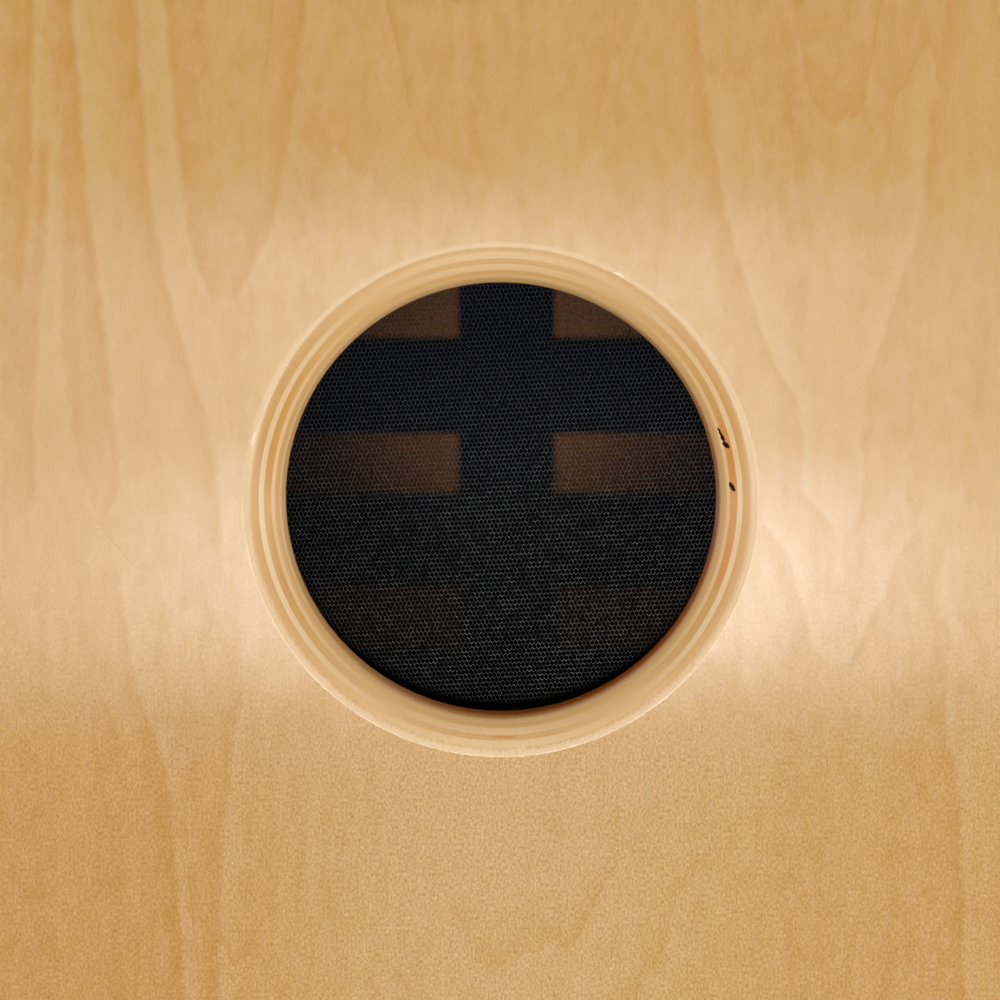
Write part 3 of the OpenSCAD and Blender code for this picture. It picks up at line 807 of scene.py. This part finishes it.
def make_net_finish():
    """Black polyester strands with a dull shine and a little lint; the top is painted dim and bluish, a
    painted shadow darkens the rim, and the right side and the downward flanks are painted dull.
    """
    material, tree, shader = new_material("black_net")
    place = object_place(tree)
    lint = cloud(tree, place, 900.0, 2.0)
    worn = cloud(tree, stretch(tree, place, (620, 620, 620), (4, 8, 1)), 1.0, 1.0)
    height = split(tree, place)[2]
    # Painted shade: the top of the net is painted dim and bluish
    painted_dim_top = span(tree, height, hole_centre.z - 5 * MM, hole_centre.z + 45 * MM)
    # Painted shadow darkens the net near its rim, most at the bottom
    painted_rim_shadow = span(tree, length(tree, vector_calc(tree, "SUBTRACT", place, net_shadow_middle)), 58 * MM, 63 * MM)
    colour = blend(tree, span(tree, lint, 0.3, 0.75), net_black, net_lint)
    colour = blend(tree, painted_dim_top, colour, net_painted_dim_blue)
    colour = blend(tree, painted_rim_shadow, colour, net_painted_shadow)
    flat_facing = tree.nodes.new("ShaderNodeNewGeometry").outputs["True Normal"]
    # Painted shine: the downward flanks, the top, the right side and the rim are painted dull; random wear
    # dulls patches
    painted_dull_flanks = span(tree, split(tree, flat_facing)[2], 0.12, 0.32, 0.88, 0.0)
    dull = calc(tree, "MAXIMUM", calc(tree, "MULTIPLY", painted_dim_top, 0.82), painted_dull_flanks)
    dull = calc(tree, "MAXIMUM", dull, span(tree, split(tree, place)[0], 10 * MM, 55 * MM, 0.0, 0.4))
    dull = calc(tree, "MAXIMUM", dull, span(tree, worn, 0.42, 0.62, 0.75, 0.0))
    dull = calc(tree, "MAXIMUM", dull, painted_rim_shadow)
    fill(tree, shader, Base_Color=colour, Roughness=span(tree, lint, 0.3, 0.7, 0.18, 0.32), Metallic=dull)
    fill(tree, shader, Specular_IOR_Level=0.84)
    return material


def make_felt_finish():
    """Pressed black felt: matt, with a matted fibre surface."""
    material, tree, shader = new_material("black_felt")
    place = object_place(tree)
    mat = cloud(tree, place, 700.0, 4.0, 0.65)
    tuft = cloud(tree, place, 120.0, 2.0)
    shade = calc(tree, "MULTIPLY_ADD", tuft, 0.4, mat)
    colour = blend(tree, span(tree, shade, 0.4, 1.0), felt_black, felt_grey)
    fill(tree, shader, Base_Color=colour, Roughness=span(tree, mat, 0.3, 0.7, 0.88, 1.0))
    fill(tree, shader, Sheen_Weight=0.15, Sheen_Roughness=0.6, Specular_IOR_Level=0.2)
    fill(tree, shader, Normal=bump(tree, mat, 0.8, 0.4 * MM))
    return material


def make_zinc_finish():
    """Zinc-plated steel: pale grey with soft clouds and fine scuffs."""
    material, tree, shader = new_material("zinc_steel")
    place = object_place(tree)
    bloom = cloud(tree, place, 260.0, 4.0, 0.6)
    scuff = cloud(tree, stretch(tree, place, (900, 3500, 900)), 1.0, 2.0)
    colour = blend(tree, span(tree, bloom, 0.3, 0.7), zinc_dull, zinc_bright)
    fill(tree, shader, Base_Color=colour, Metallic=1.0, Roughness=span(tree, scuff, 0.3, 0.7, 0.24, 0.42))
    fill(tree, shader, Normal=bump(tree, scuff, 0.2, 0.03 * MM))
    return material


def make_wire_finish():
    """Bright snare wire: the close turns of each coil show as fine rings, with painted shade in the grooves
    between them.
    """
    material, tree, shader = new_material("snare_wire")
    along = split(tree, object_place(tree))[2]
    turn = calc(tree, "SINE", calc(tree, "MULTIPLY", along, math.tau / wire_turn))
    ring = span(tree, turn, -1.0, 1.0)
    colour = blend(tree, ring, wire_painted_groove_shade, wire_bright)
    fill(tree, shader, Base_Color=colour, Metallic=1.0, Roughness=span(tree, ring, 0.0, 1.0, 0.4, 0.22))
    fill(tree, shader, Normal=bump(tree, ring, 0.7, 0.2 * MM))
    return material


def make_rubber_finish():
    """Matt black rubber with a fine moulded grain and dust."""
    material, tree, shader = new_material("foot_rubber")
    place = object_place(tree)
    grain = cloud(tree, place, 1400.0, 2.0)
    dust = cloud(tree, place, 90.0, 4.0)
    colour = blend(tree, span(tree, dust, 0.45, 0.75), rubber_black, rubber_dust)
    fill(tree, shader, Base_Color=colour, Roughness=span(tree, grain, 0.3, 0.7, 0.6, 0.78))
    fill(tree, shader, Normal=bump(tree, grain, 0.35, 0.1 * MM))
    return material


def dress_frame():
    """Gives every piece of the frame that stays its finish."""
    seat = body_high.z
    left = body_low.x
    right = body_high.x
    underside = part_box("bottom_panel")[0].z
    pine = make_pine_finish()
    zinc = make_zinc_finish()
    ring_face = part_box("screen_ring")[0].y
    finishes = {
        "back_panel": make_back_finish(),
        "left_side": make_panel_finish("birch_left", 1, 0, 2, left, 1, (0.31, 0, 0.04)),
        "right_side": make_panel_finish("birch_right", 1, 0, 2, right, -1, (0.52, 0, 0.21)),
        "top_panel": make_panel_finish("birch_top", 1, 2, 0, seat, -1, (0.17, 0, 0.43)),
        "bottom_panel": make_panel_finish("birch_bottom", 1, 2, 0, underside, 1, (0.71, 0, 0.1)),
        "front_plate": make_front_finish(),
        "screen_ring": make_panel_finish("birch_ring", 0, 1, 2, ring_face, 1, (0.4, 0, 0.1), thin_ply_cut),
    }
    by_slot = {
        "raw_pine": pine,
        "zinc_steel": zinc,
        "snare_wire": make_wire_finish(),
        "foot_rubber": make_rubber_finish(),
    }
    for name, piece in nodes.items():
        for number, worn in enumerate(piece.data.materials):
            slot = worn.name.split(".")[0]
            piece.data.materials[number] = finishes.get(name) or by_slot.get(slot) or worn


# Soft pieces

def new_piece(name, mesh, material, slot, *stands_for):
    """Makes a bmesh a piece that rides on the body and stands for its plain solids."""
    data = bpy.data.meshes.new(name)
    mesh.to_mesh(data)
    mesh.free()
    data.materials.append(material)
    piece = bpy.data.objects.new(name, data)
    bpy.context.scene.collection.objects.link(piece)
    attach(piece, "root")
    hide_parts(*stands_for)
    return piece


def repeat(mesh, faces, steps):
    """Copies faces by each of the steps."""
    for step in steps:
        copy = bmesh.ops.duplicate(mesh, geom=faces)["geom"]
        verts = [part for part in copy if isinstance(part, bmesh.types.BMVert)]
        bmesh.ops.translate(mesh, vec=step, verts=verts)


def make_net(material):
    """Hexagon net: cells repeated in offset rows, trimmed round, then opened to leave ridged strands."""
    low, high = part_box("screen")
    radius = (high.x - low.x) / 2
    mesh = bmesh.new()
    bmesh.ops.create_circle(mesh, cap_ends=True, segments=6, radius=1.0)
    for vert in mesh.verts:
        side = abs(vert.co.x) > 0.5
        rise = net_link / 2 if side else net_row_pitch - net_link / 2
        vert.co = (math.copysign(net_pitch / 2, vert.co.x) * side, math.copysign(rise, vert.co.y), 0)
    columns = math.ceil(2 * radius / net_pitch) + 1
    rows = math.ceil(2 * radius / net_row_pitch) + 1
    half_pitch = net_pitch / 2
    repeat(mesh, mesh.faces[:], [(number * net_pitch, 0, 0) for number in range(1, columns)])
    row_steps = [(half_pitch * (number % 2), number * net_row_pitch, 0) for number in range(1, rows)]
    repeat(mesh, mesh.faces[:], row_steps)
    middle = ((columns - 1) * net_pitch / 2, (rows - 1) * net_row_pitch / 2, 0)
    bmesh.ops.translate(mesh, vec=Vector(middle) * -1, verts=mesh.verts)
    outside = [cell for cell in mesh.faces if cell.calc_center_median().length > radius - net_pitch]
    bmesh.ops.delete(mesh, geom=outside, context="FACES")
    bmesh.ops.remove_doubles(mesh, verts=mesh.verts, dist=net_pitch / 20)
    ridges = mesh.verts[:]
    cells = mesh.faces[:]
    bmesh.ops.inset_individual(mesh, faces=cells, thickness=net_strand / 2, use_even_offset=True)
    bmesh.ops.delete(mesh, geom=cells, context="FACES_ONLY")
    bmesh.ops.translate(mesh, vec=(0, 0, net_strand_rise), verts=ridges)
    noise.seed_set(net_seed)
    for vert in mesh.verts:
        vert.co += noise.noise_vector(vert.co * 220) * net_uneven_mm * MM
    bmesh.ops.rotate(mesh, matrix=Matrix.Rotation(net_turn, 3, "Z"), verts=mesh.verts)
    bmesh.ops.rotate(mesh, matrix=Matrix.Rotation(math.pi / 2, 3, "X"), verts=mesh.verts)
    seat = Vector((0, low.y + net_margin + net_strand_rise, hole_centre.z))
    bmesh.ops.translate(mesh, vec=seat, verts=mesh.verts)
    for face in mesh.faces:
        face.smooth = True
    net = new_piece("net_screen", mesh, material, "black_net", "screen")


def make_felt_strip(node, material):
    """A felt strip glued flat, with soft edges and a slightly uneven face."""
    low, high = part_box(node)
    size = high - low
    mesh = bmesh.new()
    bmesh.ops.create_cube(mesh, size=1.0)
    bmesh.ops.scale(mesh, vec=size, verts=mesh.verts)
    bmesh.ops.translate(mesh, vec=(low + high) / 2, verts=mesh.verts)
    bmesh.ops.bevel(mesh, geom=mesh.edges[:], offset=felt_round, offset_type="OFFSET", segments=2,
                    profile=0.5, affect="EDGES", material=-1, clamp_overlap=True)
    longest = [edge for edge in mesh.edges if edge.calc_length() > 12 * MM]
    bmesh.ops.subdivide_edges(mesh, edges=longest, cuts=12, use_grid_fill=True)
    glued = high.y - 0.05 * MM
    for vert in mesh.verts:
        if vert.co.y < glued:
            vert.co.y += abs(noise.noise(vert.co * 45)) * felt_uneven
    felt = new_piece("felt_" + node, mesh, material, "black_felt", node)


# Stage

def make_camera():
    aim = hole_centre + aim_shift
    back = Vector((
        math.sin(camera_azimuth) * math.cos(camera_elevation),
        -math.cos(camera_azimuth) * math.cos(camera_elevation),
        math.sin(camera_elevation),
    ))
    data = bpy.data.cameras.new("camera")
    data.sensor_width = 36
    data.lens = data.sensor_width * camera_reach / frame_width
    data.clip_start = 0.02
    camera = bpy.data.objects.new("camera", data)
    camera.location = aim + back * camera_reach
    camera.rotation_euler = back.to_track_quat("Z", "Y").to_euler()
    bpy.context.scene.collection.objects.link(camera)
    bpy.context.scene.camera = camera


def make_softbox(name, place, aim, width, height, power):
    data = bpy.data.lights.new(name, "AREA")
    data.shape = "RECTANGLE"
    data.size = width
    data.size_y = height
    data.energy = power
    lamp = bpy.data.objects.new(name, data)
    lamp.location = place
    lamp.rotation_euler = (Vector(place) - Vector(aim)).to_track_quat("Z", "Y").to_euler()
    bpy.context.scene.collection.objects.link(lamp)


def looked_at(tree):
    """One where the camera, or a shiny or clear surface, looks straight at it."""
    path = tree.nodes.new("ShaderNodeLightPath").outputs
    seen = calc(tree, "MAXIMUM", path["Is Camera Ray"], path["Is Glossy Ray"])
    return calc(tree, "MAXIMUM", seen, path["Is Transmission Ray"])


def make_world(light, backdrop):
    """An even room light, and a pale backdrop where the camera or a shiny surface looks past the object."""
    world = bpy.data.worlds.new("room")
    world.use_nodes = True
    tree = world.node_tree
    plain = tree.nodes["Background"]
    fill(tree, plain, Color=room_white, Strength=light)
    pale = put(tree, "Background", None, {"Color": backdrop_white, "Strength": backdrop})
    mixed = put(tree, "MixShader", None, {0: looked_at(tree), 1: plain.outputs[0], 2: pale.outputs[0]})
    tree.links.new(mixed.outputs[0], tree.nodes["World Output"].inputs["Surface"])
    bpy.context.scene.world = world


def make_floor(backdrop):
    """A pale floor that keeps the object's shadow near it and runs into the backdrop further off."""
    mesh = bmesh.new()
    bmesh.ops.create_grid(mesh, x_segments=1, y_segments=1, size=60.0)
    bmesh.ops.translate(mesh, vec=(0, 0, body_low.z), verts=mesh.verts)
    data = bpy.data.meshes.new("floor")
    mesh.to_mesh(data)
    mesh.free()
    material, tree, shader = new_material("pale_floor")
    fill(tree, shader, Base_Color=floor_pale, Roughness=0.7)
    reach = length(tree, object_place(tree))
    far = calc(tree, "MULTIPLY", span(tree, reach, 0.4, 1.25, smooth=True), looked_at(tree))
    pale = put(tree, "Emission", None, {"Color": backdrop_white, "Strength": backdrop})
    mixed = put(tree, "MixShader", None, {0: far, 1: shader.outputs[0], 2: pale.outputs[0]})
    tree.links.new(mixed.outputs[0], tree.nodes["Material Output"].inputs["Surface"])
    data.materials.append(material)
    floor = bpy.data.objects.new("floor", data)
    bpy.context.scene.collection.objects.link(floor)


make_camera()
dress_frame()
make_net(make_net_finish())
felt_finish = make_felt_finish()
for node_name in sorted(nodes):
    if node_name.startswith("damper_"):
        make_felt_strip(node_name, felt_finish)

make_floor(backdrop_level)
make_world(room_level, backdrop_level)
for lamp_values in lamps:
    make_softbox(*lamp_values)
bpy.context.scene.view_settings.view_transform = "Standard"
